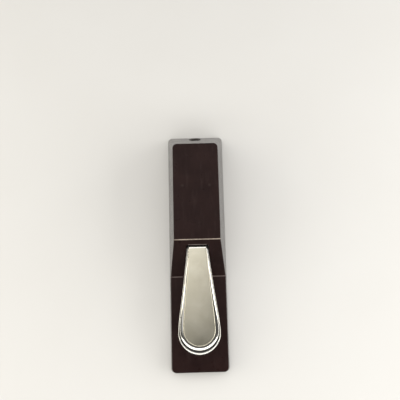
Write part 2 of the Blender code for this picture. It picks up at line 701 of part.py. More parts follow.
# ---- wiring and cord inlet -----------------------------------------------------------
def smooth_path(points, per_span=4):
    """Points on a Catmull-Rom curve through the given points."""
    ends = [points[0]] + list(points) + [points[-1]]
    path = []
    for a, b, c, d in zip(ends, ends[1:], ends[2:], ends[3:]):
        a, b, c, d = Vector(a), Vector(b), Vector(c), Vector(d)
        for i in range(per_span):
            t = i / per_span
            bend = (2 * a - 5 * b + 4 * c - d) * t ** 2 + (3 * b - a - 3 * c + d) * t ** 3
            path.append(0.5 * (2 * b + (c - a) * t + bend))
    path.append(Vector(points[-1]))
    return path


def lead(name, mat, points):
    curve = bpy.data.curves.new(name, "CURVE")
    curve.dimensions = "3D"
    curve.bevel_depth = LEAD_RADIUS
    curve.bevel_resolution = 1
    curve.use_fill_caps = True
    path = smooth_path(points)
    spline = curve.splines.new("POLY")
    spline.points.add(len(path) - 1)
    for point, place in zip(spline.points, path):
        point.co = (*place, 1.0)
    obj = bpy.data.objects.new(name, curve)
    bpy.context.scene.collection.objects.link(obj)
    curve.materials.append(mat)
    return obj


def lead_points(terminal_y, drop_x, tab_x):
    """Route from a foot switch tab, along the floor beside the spring, to a polarity tab."""
    start_z = SWITCH_Z0 - GAP - TAB_LENGTH - 0.0011
    end_z = FLOOR_Z + POLARITY_BODY_HEIGHT + GAP + POLARITY_TAB_LENGTH + 0.0011
    low_z = FLOOR_Z + 0.0032
    return [(0.0, terminal_y, start_z), (drop_x * 0.25, terminal_y - 0.001, start_z - 0.004),
            (drop_x * 0.8, terminal_y - 0.003, low_z + 0.002), (drop_x, 0.022, low_z),
            (drop_x, 0.011, low_z + 0.001), (drop_x * 0.75, 0.001, end_z + 0.001),
            (tab_x + (drop_x - tab_x) * 0.25, POLARITY_Y + 0.0035, end_z + 0.0025),
            (tab_x, POLARITY_Y, end_z)]


def cable_grommet(mat):
    """Snap-in nylon ring in the rear wall, with a groove that grips the wall's edge."""
    bore, neck, flange = INLET_BORE_RADIUS, GROMMET_RADIUS, GROMMET_RADIUS + 0.0013
    profile = [(bore, 0.0008), (flange - 0.0004, 0.0008), (flange, 0.0005), (flange, GAP),
               (neck, GAP), (neck, -WALL - GAP), (flange - 0.0006, -WALL - GAP),
               (flange - 0.0008, -WALL - 0.0014), (bore, -WALL - 0.0014)]
    grommet = turned(profile, 24)
    grommet.data.transform(inlet_matrix())
    return finish(grommet, "cable_grommet", mat, smooth=True)


def cord_clamp(mat):
    left_half = [(-0.012, 0.0), (-0.0042, 0.0), (-0.0030, 0.0030)]
    left_top = [(-0.0038, 0.0046), (-0.0056, CLAMP_FOOT), (-0.012, CLAMP_FOOT)]
    arch = left_half + [(-x, z) for x, z in reversed(left_half)]
    arch += [(-x, z) for x, z in reversed(left_top)] + left_top
    body = loft([[(x, y, FLOOR_Z + z) for x, z in arch] for y in (CLAMP_Y - 0.004, CLAMP_Y + 0.004)])
    for x, y in CLAMP_SCREW_PLACES:
        cut(body, rod(SCREW_HOLE, 0.0, 0.014, 12, place=(x, y, 0)))
    return finish(body, "cord_clamp", mat)


# ---- assembly ------------------------------------------------------------------------
def joint_empty(name, place):
    empty = bpy.data.objects.new(name, None)
    empty.location = place
    empty.empty_display_size = 0.01
    bpy.context.scene.collection.objects.link(empty)
    return empty


def build():
    clear_scene()
    black = material("black_moulding", (0.030, 0.024, 0.023), 0.42)
    steel = material("zinc_plated_steel", (0.55, 0.55, 0.54), 0.35, 1.0)
    satin = material("satin_nickel", (0.62, 0.59, 0.52), 0.28, 1.0)
    polished = material("polished_nickel", (0.70, 0.68, 0.63), 0.12, 1.0)
    rubber = material("black_rubber", (0.022, 0.022, 0.022), 0.85)
    nylon = material("natural_nylon", (0.78, 0.76, 0.70), 0.5)
    spring_steel = material("spring_steel", (0.42, 0.42, 0.43), 0.3, 1.0)
    switch_black = material("switch_case", (0.05, 0.05, 0.055), 0.5)
    button_red = material("switch_button", (0.50, 0.05, 0.04), 0.45)
    tin = material("tinned_brass", (0.70, 0.66, 0.55), 0.35, 1.0)
    lead_black = material("lead_black", (0.02, 0.02, 0.02), 0.55)
    lead_white = material("lead_white", (0.75, 0.75, 0.72), 0.55)
    screw_zinc = material("screw_zinc", (0.50, 0.50, 0.49), 0.3, 1.0)

    pivot = joint_empty("pedal_pivot_axis", (0, PIVOT_Y, PIVOT_Z))
    plunger = joint_empty("switch_plunger_axis", (0, PLUNGER_Y, ARM_BOTTOM_Z - GAP))
    slider = joint_empty("polarity_slide_axis", (-POLARITY_TRAVEL / 2, POLARITY_Y, FLOOR_Z))

    upper_housing(black)
    base_plate(steel)
    anti_slip_mat(rubber)
    screw_set("base_screw", screw_zinc, BASE_SCREW_PLACES, BASE_SCREW, PLATE_BOTTOM_Z - GAP, 0.0080)

    pedal_lever(polished, pivot)
    pedal_face_plate(satin, pivot)
    face_plate_screws(screw_zinc, pivot)
    lever_bushes(nylon, pivot)

    bearing_bracket(steel)
    screw_set("bracket_screw", screw_zinc, BRACKET_SCREW_PLACES, BRACKET_SCREW,
              FLOOR_Z + EAR_THICKNESS + GAP, SCREW_END_Z)
    pivot_axle(steel)
    rings_on_axle("axle_clip", spring_steel, EAR_X + EAR_THICKNESS + 0.0005, 0.0008, 0.0055)
    rings_on_axle("pivot_washer", nylon, HUB_HALF_WIDTH + 0.0006, 0.0018, 0.0060)

    return_spring(spring_steel)
    spring_seat(nylon)
    stop_bumper("up_stop_bumper", rubber, UP_STOP_Y, ARM_TOP_Z + GAP)
    stop_bumper("down_stop_bumper", rubber, DOWN_STOP_Y, 0.0425)

    micro_switch(switch_black)
    switch_plunger(button_red, plunger)
    switch_terminals(tin)
    switch_bracket(steel)
    switch_screws(screw_zinc)
    screw_set("switch_bracket_screw", screw_zinc, FOOT_SCREW_PLACES, FOOT_SCREW,
              FLOOR_Z + SWITCH_BRACKET_THICKNESS + GAP, SCREW_END_Z)

    polarity_switch(switch_black)
    polarity_slider(lead_white, slider)
    polarity_terminals(tin)
    screw_set("polarity_screw", screw_zinc, POLARITY_SCREW_PLACES, POLARITY_SCREW,
              FLOOR_Z + POLARITY_FLANGE + GAP, PLATE_BOTTOM_Z + 0.0001)

    lead("switch_lead_a", lead_black, lead_points(SWITCH_Y0 + 0.0025, -0.0105, 0.0))
    lead("switch_lead_b", lead_white, lead_points(SWITCH_Y0 + 0.0100, -0.0140, -0.0035))
    cable_grommet(black)
    cord_clamp(switch_black)
    screw_set("cord_clamp_screw", screw_zinc, CLAMP_SCREW_PLACES, CLAMP_SCREW,
              FLOOR_Z + CLAMP_FOOT + GAP, SCREW_END_Z)


build()
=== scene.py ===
"""Looks of the piano-style sustain pedal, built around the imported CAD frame.

Frame: metres, +X right, +Y rear, +Z up, origin on the floor under the middle of the base.
Pieces that a viewer can see are rebuilt here with the CAD's own dimensions and more detail.
"""
import math

import bmesh
import bpy
from mathutils import Matrix, Vector


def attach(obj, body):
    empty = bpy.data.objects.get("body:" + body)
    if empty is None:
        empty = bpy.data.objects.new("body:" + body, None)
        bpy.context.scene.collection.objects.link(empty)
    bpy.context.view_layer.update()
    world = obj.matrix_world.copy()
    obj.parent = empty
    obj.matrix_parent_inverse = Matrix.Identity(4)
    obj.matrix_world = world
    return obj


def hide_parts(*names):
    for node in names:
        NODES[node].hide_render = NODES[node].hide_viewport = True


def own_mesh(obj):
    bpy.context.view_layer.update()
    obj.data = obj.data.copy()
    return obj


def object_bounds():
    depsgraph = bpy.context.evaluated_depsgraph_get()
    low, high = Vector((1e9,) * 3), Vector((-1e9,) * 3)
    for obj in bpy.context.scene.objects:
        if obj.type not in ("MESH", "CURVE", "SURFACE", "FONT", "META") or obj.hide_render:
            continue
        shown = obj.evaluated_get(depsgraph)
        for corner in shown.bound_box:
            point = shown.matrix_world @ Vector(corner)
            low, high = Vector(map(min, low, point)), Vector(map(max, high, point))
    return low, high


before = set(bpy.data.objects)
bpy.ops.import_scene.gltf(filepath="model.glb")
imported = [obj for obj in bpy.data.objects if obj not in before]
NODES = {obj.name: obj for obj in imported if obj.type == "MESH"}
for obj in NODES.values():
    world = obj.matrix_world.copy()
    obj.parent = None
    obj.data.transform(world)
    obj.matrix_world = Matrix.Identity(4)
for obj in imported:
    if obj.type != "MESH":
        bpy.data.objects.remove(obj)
cad_low, cad_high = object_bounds()

# ---- camera: nearly overhead, leaning a little to the pedal's toe ----------------------
CAMERA_ELEVATION = math.radians(80.0)
CAMERA_AZIMUTH = math.radians(-1.99)
CAMERA_ROLL = math.radians(0.53)
CAMERA_DISTANCE = 0.533
CAMERA_TARGET = Vector((0.0043, 0.0589, 0.0))
CAMERA_LENS = 40.5
CAMERA_SENSOR = 36.0
CAMERA_CLIP = 0.01

# ---- studio: soft boxes as (name, place, aim, width and height, watts, colour) ----------
SOFTBOXES = [
    ("front_box", (0.00, -0.86, 0.84), (0, -0.05, 0), (2.10, 0.42), 7.6, (1.0, 0.985, 0.95)),
    ("right_box", (1.12, -0.05, 0.50), (0, 0, 0), (1.60, 0.66), 13.0, (1.0, 0.985, 0.95)),
    ("left_box", (-1.05, 0.00, 0.46), (0, 0, 0), (1.50, 0.52), 7.0, (1.0, 0.95, 0.84))]
SKY_COLOR = (1.0, 0.985, 0.96, 1.0)
# the sky's strength rises from front to rear, and lean and curve tip that rise sideways
SKY_RAMP = {"From Min": -0.34, "From Max": 0.08, "To Min": 0.10, "To Max": 1.36}
SKY_LEAN = -0.35
SKY_CURVE = -0.9
# low in the sky, an even glow takes over from that rise
HAZE_RAMP = {"From Min": 0.30, "From Max": 0.48, "To Min": 1.0, "To Max": 0.0}
HORIZON_GLOW = 0.55
STUDIO_FLOOR_SIZE = 40

# ---- dimensions shared with the CAD source ---------------------------------------------
BASE_LENGTH = 0.270
BASE_WIDTH = 0.065
DECK_Z = 0.050
TRAY_Z = 0.011
RIM_Z = 0.0008
SLOPE_FOOT_Y = -0.0303
DECK_FRONT_Y = 0.0080
SIDE_DRAFT = math.radians(9.0)
REAR_DRAFT = math.radians(24.0)
CORNER_RADIUS = 0.005
EDGE_BEVEL = 0.0010
WALL = 0.0025
SLOT_HALF_WIDTH = 0.0118
SLOT_FLARE = 0.0034
SLOT_FRONT_Y = -0.025
SLOT_BOTTOM_Z = 0.025
SLOT_TOP_Z = 0.0443
GAP = 0.0003
MAT_THICKNESS = 0.0020
PLATE_BOTTOM_Z = 0.0023
FLOOR_Z = 0.0041
PLATE_HALF_WIDTH = 0.0289
PLATE_FRONT_Y = -0.1314
PLATE_REAR_Y = 0.1302
PLATE_CORNER = 0.0024
BASE_SCREW_PLACES = [(sx * x, y) for x, y in ((0.022, -0.120), (0.0235, 0.006), (0.020, 0.118))
                     for sx in (-1, 1)]
# screws of the brackets and the clamp, which the mat has holes for
OTHER_SCREW_PLACES = [(-0.011, 0.0515), (-0.011, 0.0725), (0.011, 0.0515), (0.011, 0.0725),
                      (0.0105, 0.031), (0.0105, 0.042), (-0.0085, 0.116), (0.0085, 0.116)]
BOSS_RADIUS = 0.0034
# screws as (head radius, head height, shank radius)
BASE_SCREW = (0.0030, 0.0012, 0.0013)
FACE_PLATE_SCREW = (0.0029, 0.0014, 0.0011)
PEDAL_ROOT_Y = 0.0011
PEDAL_ROOT_Z = 0.0425
PEDAL_TILT = math.radians(2.4)
# teardrop outlines: start is how far the straight rear edge lies from the root's line
LIP = {"root": 0.0110, "round": 0.0223, "tip": 0.1132, "start": 0.0}
PLATE = {"root": 0.0098, "round": 0.0205, "tip": 0.1080, "start": 0.0}
PAD = {"root": 0.0090, "round": 0.0168, "tip": 0.1037, "start": 0.0004}
FLANK_SWELL = 5
FACE_PLATE_DEPTH = 0.0026
LEVER_DEPTH = 0.0085
LEVER_COUNTERBORE = 0.0022
PIVOT_Y = 0.062
PIVOT_Z = 0.033
BUSH_RADIUS = 0.0046
HUB_RADIUS = 0.0070
HUB_HALF_WIDTH = 0.0130
ARM_HALF_WIDTH = 0.0090
ARM_BOTTOM_Z = 0.0325
ARM_TOP_Z = 0.0395
TAIL_TOP_Z = 0.0385
TAIL_END_Y = 0.104
SPRING_Y = 0.017
SPRING_RADIUS = 0.0049
SPRING_WIRE = 0.0006
SPRING_TURNS = 6
SPRING_PEG_RADIUS = SPRING_RADIUS - 0.0014
SPRING_END_EASE = 0.045
SPRING_BOTTOM_Z = 0.0059
POLARITY_Y = -0.008
INLET_Z = 0.0150
INLET_BORE_RADIUS = 0.0040
GROMMET_RADIUS = 0.0054

# ---- housing detail ------------------------------------------------------------------------
EDGE_SEGMENTS = 5
EDGE_ANGLE = math.radians(50)
OUTER_ROUNDING = 0.0016
INNER_ROUNDING = 0.0020
LEAST_CORNER_RADIUS = 0.0018
CORNER_STEPS = 12
FILLET_STEPS = 10
BLANK_OVERRUN = 0.004
BLANK_HALF_WIDTH = 0.05
ROOF_SKIN = 0.001
BOSS_REACH = 0.45
CROSS_RIB = (-0.0285, 0.0285, -0.0828, -0.0812)
LONG_RIB_X = 0.013
LONG_RIB_HALF = 0.0008
LONG_RIB_Y = (-0.131, -0.031)
CREST_RIB_X = 0.0235
CREST_RIB_HALF = 0.0007
CREST_RIB_Y = (0.006, 0.010)
CREST_RIB_Z = 0.020
BASE_SCREW_HOLE_RADIUS = 0.0016
BASE_SCREW_HOLE_TOP = 0.0084
INLET_CUT = 0.012
# faces whose normal has a smaller z than this, up or down, are walls, which are glossier
WALL_NORMAL_Z = 0.5

# ---- mat and screw detail -------------------------------------------------------------------
TREAD_PITCH = 0.0034
TREAD_GROOVE = 0.0010
TREAD_DEPTH = 0.0006
TREAD_OVERRUN = 0.002
TREAD_MARGIN = 0.0015
MAT_CUT = 0.01
BASE_SCREW_CLEARANCE = 0.0040
OTHER_SCREW_CLEARANCE = 0.0020
WINDOW_HALF_WIDTH = 0.0085
WINDOW_HALF_LENGTH = 0.0052
WINDOW_CORNER = 0.002
SCREW_SEGMENTS = 40
SCREW_CHAMFER = 0.0005
BASE_SCREW_END_Z = 0.0080
BASE_SCREW_TURN = 0.4
FACE_PLATE_SCREW_END = -0.0016

# ---- pedal detail: heights are above the pad, shares run from one outline to the next ----------
FLANK_STEPS = 28
TOE_STEPS = 56
FACE_SCREW_DISTANCES = (0.030, 0.082)
FACE_SCREW_HOLE_RADIUS = 0.0014
FACE_SCREW_HOLE_TOP = -0.0011
FACE_SCREW_CLEARANCE = 0.0017
COUNTERBORE_RADIUS = 0.0034
LIP_CREST_SHARE = 0.40
GROOVE_EDGE_SHARE = 0.46
GROOVE_FLOOR_SHARE = 0.52
GROOVE_DEPTH = 0.0011
# tilts of the polished border as (share of its width, degrees)
CROWN_TILTS = [(0.0, 19.0), (0.42, 15.5), (0.52, 9.0), (1.0, 5.0)]
CROWN_WIDTH = 0.0038
CROWN_STEPS = 16
CROWN_EDGE = 0.0005
CROWN_EDGE_Z = -0.0022
CROWN_EDGE_STEPS = 6
CREVICE = 0.00035
CREVICE_DEPTH = 0.0004
PAD_EDGE_WIDTH = 0.0010
PAD_EDGE_Z = -0.0006
PAD_EDGE_STEPS = 9
LEVEL_NORMAL_Z = 0.5
LEVEL_TOLERANCE = 0.00002

# ---- small detail ---------------------------------------------------------------------------
SPRING_STEPS_PER_TURN = 36
SPRING_WIRE_SIDES = 12
GROMMET_FLANGE = 0.0013
GROMMET_SEGMENTS = 64
ROUNDING_SEGMENTS = 2
ROUNDING_ANGLE = math.radians(40.0)

# ---- painted highlights along edges: (y, z) lines across the housing, and half widths --
# painted highlight along the crest edge, where the deck meets the slope
CREST_LINE = (DECK_FRONT_Y + 0.0001, DECK_Z - 0.0002)
CREST_HIGHLIGHT_HALF_WIDTH = 0.00072
CREST_HIGHLIGHT_TONE = (0.36, 0.30, 0.25)
# painted highlight along the crease at the slope's foot
FOOT_LINE = (SLOPE_FOOT_Y - 0.0001, TRAY_Z + 0.0002)
FOOT_HIGHLIGHT_HALF_WIDTH = 0.00085
FOOT_HIGHLIGHT_TONE = (0.135, 0.105, 0.098)
# painted highlight along the slot's top lip
SLOT_LIP_LINE = (0.0030, SLOT_TOP_Z + 0.0005)
SLOT_LIP_HIGHLIGHT_HALF_WIDTH = 0.0006
SLOT_LIP_REACH = SLOT_HALF_WIDTH - 0.0020
SLOT_LIP_HIGHLIGHT_TONE = (0.16, 0.135, 0.125)
# painted highlight along the pedal's root edge
ROOT_EDGE_LINE = (PEDAL_ROOT_Y - 0.0012, PEDAL_ROOT_Z)
ROOT_EDGE_HIGHLIGHT_HALF_WIDTH = 0.0006
ROOT_EDGE_HIGHLIGHT_TONE = (0.97, 0.96, 0.93)
# two faint lighter spots on the deck over the pivot
PALE_SPOT_X = 0.0146
PALE_SPOT_Y = 0.0665
PALE_SPOT_RADIUS = 0.0022


# ---- node materials ----------------------------------------------------------------------
class Paint:
    """Builds one Principled material whose patterns are fixed to the piece."""

    def __init__(self, name, color, roughness, metallic=0.0, ior=1.5):
        self.mat = bpy.data.materials.new(name)
        self.mat.use_nodes = True
        self.tree = self.mat.node_tree
        self.shader = self.tree.nodes["Principled BSDF"]
        self.shader.inputs["Base Color"].default_value = (*color, 1.0)
        self.shader.inputs["Roughness"].default_value = roughness
        self.shader.inputs["Metallic"].default_value = metallic
        self.shader.inputs["IOR"].default_value = ior
        self.coords = self.tree.nodes.new("ShaderNodeTexCoord").outputs["Object"]

    def link(self, source, target):
        self.tree.links.new(source, target)
        return target

    def stretched(self, scale):
        mapping = self.tree.nodes.new("ShaderNodeMapping")
        mapping.inputs["Scale"].default_value = scale
        self.link(self.coords, mapping.inputs["Vector"])
        return mapping.outputs["Vector"]

    def noise(self, scale, detail=3.0, rough=0.5, stretch=None):
        node = self.tree.nodes.new("ShaderNodeTexNoise")
        node.inputs["Scale"].default_value = scale
        node.inputs["Detail"].default_value = detail
        node.inputs["Roughness"].default_value = rough
        self.link(self.stretched(stretch) if stretch else self.coords, node.inputs["Vector"])
        return node.outputs["Fac"]

    def cells(self, scale):
        node = self.tree.nodes.new("ShaderNodeTexVoronoi")
        node.inputs["Scale"].default_value = scale
        self.link(self.coords, node.inputs["Vector"])
        return node.outputs["Distance"]

    def remap(self, value, from_low, from_high, to_low, to_high):
        node = self.tree.nodes.new("ShaderNodeMapRange")
        for key, number in (("From Min", from_low), ("From Max", from_high),
                            ("To Min", to_low), ("To Max", to_high)):
            node.inputs[key].default_value = number
        self.link(value, node.inputs["Value"])
        return node.outputs["Result"]

    def math(self, operation, first, second):
        node = self.tree.nodes.new("ShaderNodeMath")
        node.operation = operation
        for socket, value in zip(node.inputs, (first, second)):
            if isinstance(value, (int, float)):
                socket.default_value = value
            else:
                self.link(value, socket)
        return node.outputs["Value"]

    def blend(self, factor, first, second):
        node = self.tree.nodes.new("ShaderNodeMix")
        node.data_type = "RGBA"
        self.link(factor, node.inputs["Factor"])
        for socket, value in ((node.inputs["A"], first), (node.inputs["B"], second)):
            if isinstance(value, tuple):
                socket.default_value = (*value, 1.0)
            else:
                self.link(value, socket)
        return node.outputs["Result"]

    def color(self, value):
        self.link(value, self.shader.inputs["Base Color"])
        return self

    def roughness(self, value):
        self.link(value, self.shader.inputs["Roughness"])
        return self

    def bump(self, height, distance, strength=1.0):
        node = self.tree.nodes.new("ShaderNodeBump")
        node.inputs["Distance"].default_value = distance
        node.inputs["Strength"].default_value = strength
        self.link(height, node.inputs["Height"])
        if self.shader.inputs["Normal"].is_linked:
            self.link(self.shader.inputs["Normal"].links[0].from_socket, node.inputs["Normal"])
        self.link(node.outputs["Normal"], self.shader.inputs["Normal"])
        return self

    def spot(self, place, radius, stretch=None):
        """1 at a place, fading to 0 at the radius."""
        node = self.tree.nodes.new("ShaderNodeVectorMath")
        node.operation = "DISTANCE"
        self.link(self.stretched(stretch) if stretch else self.coords, node.inputs[0])
        node.inputs[1].default_value = place
        return self.remap(node.outputs["Value"], radius, 0.0, 0.0, 1.0)

    def within_x(self, half_width):
        """1 nearer the middle plane than the half width, else 0."""
        split = self.tree.nodes.new("ShaderNodeSeparateXYZ")
        self.link(self.coords, split.inputs["Vector"])
        return self.math("LESS_THAN", self.math("ABSOLUTE", split.outputs["X"], 0.0), half_width)

    def stripe(self, line, half_width):
        """1 along a line that runs across the base at a (y, z), fading to 0 beside it."""
        fade = self.spot((0.0, *line), half_width, (0.0, 1.0, 1.0))
        return self.remap(fade, 0.0, 0.45, 0.0, 1.0)


def moulded_black(name, ior, gloss, coat):
    """Black moulding with soft mottling, two lighter spots over the pivot, and painted highlights along
    the crest, the slope's foot and the slot's top lip.
    """
    p = Paint(name, (0.018, 0.0075, 0.0065), gloss, ior=ior)
    p.shader.inputs["Coat Weight"].default_value = coat
    p.shader.inputs["Coat Roughness"].default_value = 0.12
    clouds = p.remap(p.noise(45.0, 5.0, 0.62), 0.36, 0.66, 0.0, 1.0)
    tone = p.blend(clouds, (0.0118, 0.0046, 0.0042), (0.0178, 0.0078, 0.0070))
    haze = p.remap(p.noise(240.0, 4.0, 0.6, (1.0, 0.2, 1.0)), 0.52, 0.74, 0.0, 0.30)
    tone = p.blend(haze, tone, (0.034, 0.022, 0.020))
    # two faint lighter spots on the deck over the pivot
    left_mark, right_mark = (p.spot((x, PALE_SPOT_Y, DECK_Z), PALE_SPOT_RADIUS)
                             for x in (-PALE_SPOT_X, PALE_SPOT_X))
    marks = p.math("ADD", left_mark, right_mark)
    tone = p.blend(p.math("MULTIPLY", marks, 0.30), tone, (0.060, 0.046, 0.042))
    # uneven strength along the painted highlight lines
    highlight_patchiness = p.remap(p.noise(130.0, 3.0, 0.6), 0.30, 0.62, 0.55, 1.0)
    # painted highlight along the crest edge
    crest = p.math("MULTIPLY", p.stripe(CREST_LINE, CREST_HIGHLIGHT_HALF_WIDTH), highlight_patchiness)
    tone = p.blend(crest, tone, CREST_HIGHLIGHT_TONE)
    # painted highlight along the crease at the slope's foot
    foot_highlight = p.math("MULTIPLY", p.stripe(FOOT_LINE, FOOT_HIGHLIGHT_HALF_WIDTH), highlight_patchiness)
    tone = p.blend(foot_highlight, tone, FOOT_HIGHLIGHT_TONE)
    # painted highlight along the slot's top lip
    slot_lip_highlight = p.math("MULTIPLY", p.stripe(SLOT_LIP_LINE, SLOT_LIP_HIGHLIGHT_HALF_WIDTH), p.within_x(SLOT_LIP_REACH))
    tone = p.blend(p.math("MULTIPLY", slot_lip_highlight, highlight_patchiness), tone, SLOT_LIP_HIGHLIGHT_TONE)
    p.color(tone)
    p.roughness(p.remap(p.noise(95.0, 4.0, 0.6), 0.3, 0.7, gloss - 0.04, gloss + 0.06))
    p.bump(p.noise(2600.0, 2.0, 0.5), 0.000010, 0.7)
    return p.mat


def nickel(name, color, tint, rough_low, rough_high, brush):
    """Plated metal; brush is how strongly fine lines along the pedal show."""
    p = Paint(name, color, rough_low, 1.0)
    tone = p.blend(p.remap(p.noise(55.0, 3.0), 0.35, 0.65, 0.0, 1.0), color, tint)
    # painted highlight along the pedal's root edge
    p.color(p.blend(p.stripe(ROOT_EDGE_LINE, ROOT_EDGE_HIGHLIGHT_HALF_WIDTH), tone, ROOT_EDGE_HIGHLIGHT_TONE))
    lines = p.noise(1.0, 3.0, 0.6, (2400.0, 46.0, 900.0))
    clouds = p.noise(70.0, 3.0, 0.55)
    wear = p.math("ADD", p.math("MULTIPLY", lines, brush), p.math("MULTIPLY", clouds, 1.0 - brush))
    p.roughness(p.remap(wear, 0.32, 0.68, rough_low, rough_high))
    p.bump(lines, 0.000003, brush)
    p.bump(p.noise(420.0, 2.0), 0.000005, 0.2)
    return p.mat


def plated_steel(name, color, tint, rough_low, rough_high):
    p = Paint(name, color, rough_low, 1.0)
    p.color(p.blend(p.remap(p.cells(330.0), 0.1, 0.9, 0.0, 1.0), color, tint))
    p.roughness(p.remap(p.noise(240.0, 4.0, 0.6), 0.3, 0.7, rough_low, rough_high))
    p.bump(p.noise(1500.0, 3.0), 0.00001, 0.5)
    return p.mat


def rubber(name, color, grain):
    p = Paint(name, color, 0.72, ior=1.5)
    light = tuple(min(1.0, c * 1.9) for c in color)
    p.color(p.blend(p.remap(p.noise(120.0, 5.0, 0.65), 0.35, 0.75, 0.0, 1.0), color, light))
    p.roughness(p.remap(p.noise(400.0, 3.0), 0.3, 0.7, 0.62, 0.86))
    p.bump(p.cells(grain), 0.00006, 0.6)
    return p.mat


def plastic(name, color, tint, rough_low, rough_high, grain=1800.0):
    p = Paint(name, color, rough_low, ior=1.5)
    p.color(p.blend(p.remap(p.noise(150.0, 4.0, 0.6), 0.35, 0.7, 0.0, 1.0), color, tint))
    p.roughness(p.remap(p.noise(500.0, 3.0), 0.3, 0.7, rough_low, rough_high))
    p.bump(p.noise(grain, 2.0), 0.000015, 0.6)
    return p.mat


MATERIALS = {
    "black_moulding": moulded_black("moulded_black_satin", 1.2, 0.30, 0.0),
    "gloss_moulding": moulded_black("moulded_black_gloss", 1.45, 0.20, 0.15),
    "satin_nickel": nickel("satin_nickel", (0.60, 0.565, 0.455), (0.66, 0.625, 0.515), 0.20, 0.27,
                           0.30),
    "polished_nickel": nickel("polished_nickel", (0.80, 0.785, 0.72), (0.86, 0.85, 0.80), 0.07, 0.13,
                              0.10),
    # near-black that paints shade into the pedal's groove and crevice and onto the lever inside the slot
    "painted_shade_black": plastic("painted_shade_black", (0.012, 0.011, 0.011), (0.022, 0.020, 0.019), 0.55, 0.72),
    "black_rubber": rubber("black_rubber", (0.020, 0.019, 0.019), 1300.0),
    "zinc_plated_steel": plated_steel("zinc_plated_steel", (0.56, 0.56, 0.55), (0.68, 0.69, 0.70),
                                      0.26, 0.42),
    "spring_steel": plated_steel("spring_steel", (0.40, 0.40, 0.41), (0.52, 0.52, 0.52), 0.20, 0.34),
    "screw_zinc": plated_steel("screw_zinc", (0.52, 0.52, 0.50), (0.66, 0.66, 0.64), 0.22, 0.38),
    "tinned_brass": plated_steel("tinned_brass", (0.70, 0.66, 0.54), (0.80, 0.77, 0.68), 0.24, 0.40),
    "natural_nylon": plastic("natural_nylon", (0.74, 0.71, 0.63), (0.82, 0.80, 0.74), 0.38, 0.52),
    "switch_case": plastic("switch_case", (0.030, 0.030, 0.033), (0.050, 0.050, 0.054), 0.42, 0.58),
    "switch_button": plastic("switch_button", (0.42, 0.035, 0.03), (0.56, 0.06, 0.045), 0.34, 0.48),
    "lead_black": plastic("lead_black", (0.016, 0.016, 0.017), (0.030, 0.030, 0.031), 0.42, 0.56, 900.0),
    "lead_white": plastic("lead_white", (0.70, 0.70, 0.66), (0.78, 0.78, 0.75), 0.42, 0.56, 900.0),
}


def slot_of(node):
    """Slot of a CAD node, which is its CAD material's name without any copy number."""
    return node.data.materials[0].name.split(".")[0]


# ---- mesh helpers -------------------------------------------------------------------------
def to_object(bm, name="work"):
    bmesh.ops.recalc_face_normals(bm, faces=bm.faces)
    mesh = bpy.data.meshes.new(name)
    bm.to_mesh(mesh)
    bm.free()
    obj = bpy.data.objects.new(name, mesh)
    bpy.context.scene.collection.objects.link(obj)
    return obj


def bake(obj):
    bpy.context.view_layer.update()
    graph = bpy.context.evaluated_depsgraph_get()
    mesh = bpy.data.meshes.new_from_object(obj.evaluated_get(graph))
    obj.modifiers.clear()
    obj.data = mesh


def combine(target, other, operation):
    mod = target.modifiers.new("boolean", "BOOLEAN")
    mod.operation = operation
    mod.solver = "EXACT"
    mod.object = other
    bake(target)
    bpy.data.objects.remove(other, do_unlink=True)
    return target


def cut(target, *cutters):
    for cutter in cutters:
        combine(target, cutter, "DIFFERENCE")
    return target


def join(target, *others):
    for other in others:
        combine(target, other, "UNION")
    return target


def dress(obj, name, body, stands_for, slot, sharp):
    """Names a new piece, puts it on its body and gives it its finish."""
    obj.name = name
    obj.data.name = name
    obj.data.materials.clear()
    obj.data.materials.append(MATERIALS[slot])
    obj.data.shade_smooth()
    obj.data.set_sharp_from_angle(angle=math.radians(sharp))
    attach(obj, body)
    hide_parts(*stands_for)
    return obj


def soften(obj, width):
    """Small rounding on every hard edge, as a moulded, cast or pressed edge has."""
    bevel = obj.modifiers.new("edge_rounding", "BEVEL")
    bevel.width = width
    bevel.segments = ROUNDING_SEGMENTS
    bevel.limit_method = "ANGLE"
    bevel.angle_limit = ROUNDING_ANGLE
    bevel.harden_normals = True


def box(x0, x1, y0, y1, z0, z1):
    bm = bmesh.new()
    bmesh.ops.create_cube(bm, size=1.0)
    size = Matrix.Diagonal((x1 - x0, y1 - y0, z1 - z0, 1.0))
    middle = Matrix.Translation(((x0 + x1) / 2, (y0 + y1) / 2, (z0 + z1) / 2))
    bmesh.ops.transform(bm, matrix=middle @ size, verts=bm.verts)
    return to_object(bm)


def turned(profile, segments):
    """Solid of revolution about Z; the profile is a closed loop of (radius, height) points."""
    bm = bmesh.new()
    angles = [math.tau * i / segments for i in range(segments)]
    rings = []
    for radius, height in profile:
        rings.append([bm.verts.new((radius * math.cos(a), radius * math.sin(a), height))
                      for a in angles])
    for ring, following in zip(rings, rings[1:] + rings[:1]):
        for i in range(segments):
            j = (i + 1) % segments
            bm.faces.new((ring[i], ring[j], following[j], following[i]))
    return to_object(bm)


def rod(radius, start, end, segments, axis="Z", place=(0.0, 0.0, 0.0)):
    """Cylinder along Z or X, between two distances from its place."""
    bm = bmesh.new()
    bmesh.ops.create_cone(bm, cap_ends=True, segments=segments, radius1=radius, radius2=radius,
                          depth=end - start)
    lift = Matrix.Translation((0, 0, (start + end) / 2))
    turn = Matrix.Rotation(math.pi / 2, 4, "Y") if axis == "X" else Matrix.Identity(4)
    bmesh.ops.transform(bm, matrix=Matrix.Translation(place) @ turn @ lift, verts=bm.verts)
    return to_object(bm)


